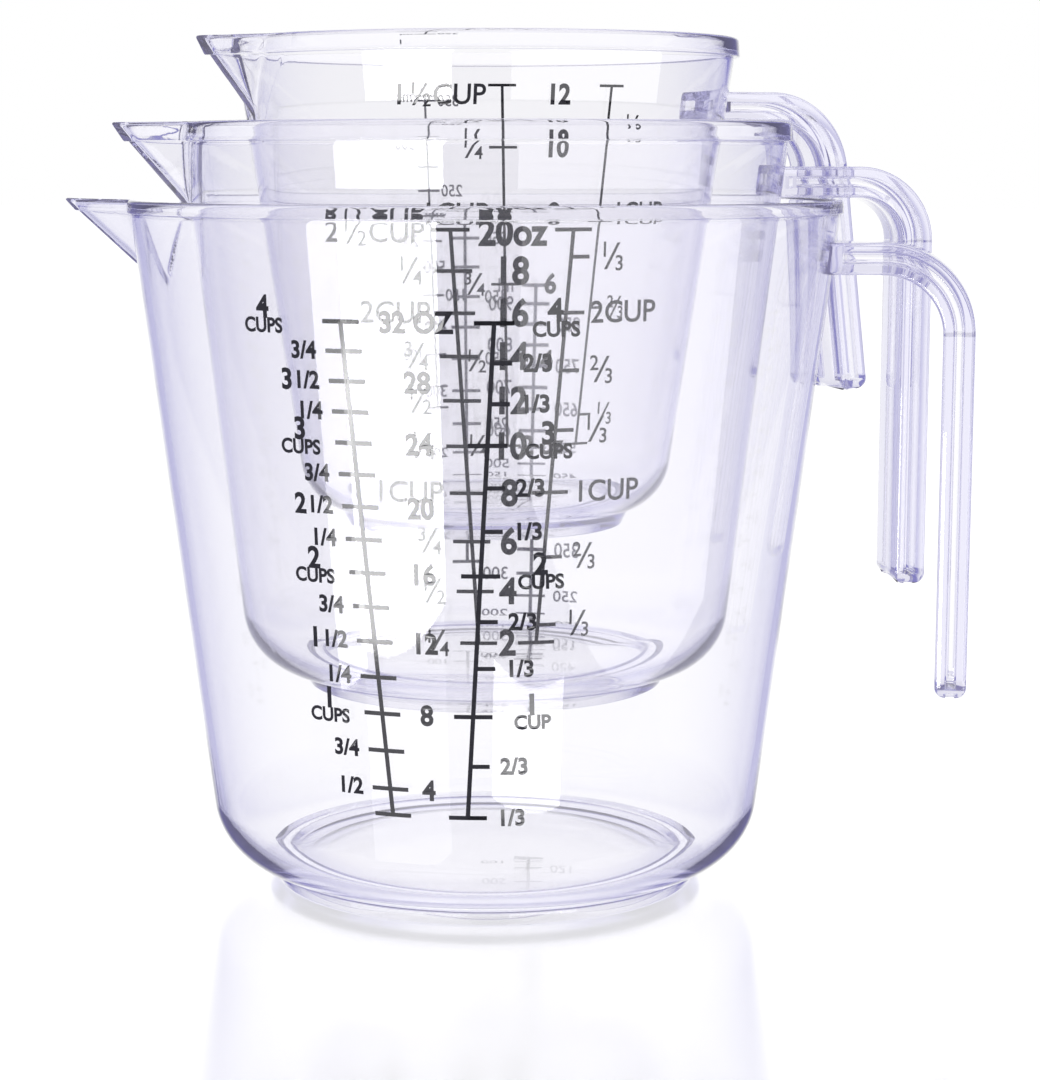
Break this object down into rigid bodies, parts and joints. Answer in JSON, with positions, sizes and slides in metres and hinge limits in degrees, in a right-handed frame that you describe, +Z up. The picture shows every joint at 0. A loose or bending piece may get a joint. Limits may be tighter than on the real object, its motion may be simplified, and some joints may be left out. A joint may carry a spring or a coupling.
{
  "type": "measuring cup set",
  "caption": "Nesting set of clear plastic measuring cups, each with a pouring spout, an open hook handle and printed cup, ounce and millilitre scales.",
  "frame": {"origin": "centre of the large cup's foot ring, on the surface it stands on", "axes": "+Z up, the way the inner cups lift out; +X towards the large cup's handle; the large cup's spout points along -X and its printed front faces -Y"},
  "size_m": [0.1728, 0.1326, 0.1572],
  "materials": {
    "clear_plastic": "clear polished plastic with a faint lavender tint",
    "black_ink": "black screen-printed ink"
  },
  "bodies": {
    "large_cup": {"large_cup": "clear_plastic", "large_quarters_scale": "black_ink", "large_thirds_scale": "black_ink", "large_millilitres_scale": "black_ink"},
    "middle_cup": {"middle_cup": "clear_plastic", "middle_quarters_scale": "black_ink", "middle_thirds_scale": "black_ink", "middle_millilitres_scale": "black_ink"},
    "small_cup": {"small_cup": "clear_plastic", "small_quarters_scale": "black_ink", "small_thirds_scale": "black_ink", "small_millilitres_scale": "black_ink"}
  },
  "joints": [
    {"name": "middle_cup_lift", "type": "slide", "parent": "large_cup", "child": "middle_cup", "axis": [0, 0, 1], "range_m": [0, 0.095]},
    {"name": "small_cup_lift", "type": "slide", "parent": "middle_cup", "child": "small_cup", "axis": [0, 0, 1], "range_m": [0, 0.08]}
  ]
}
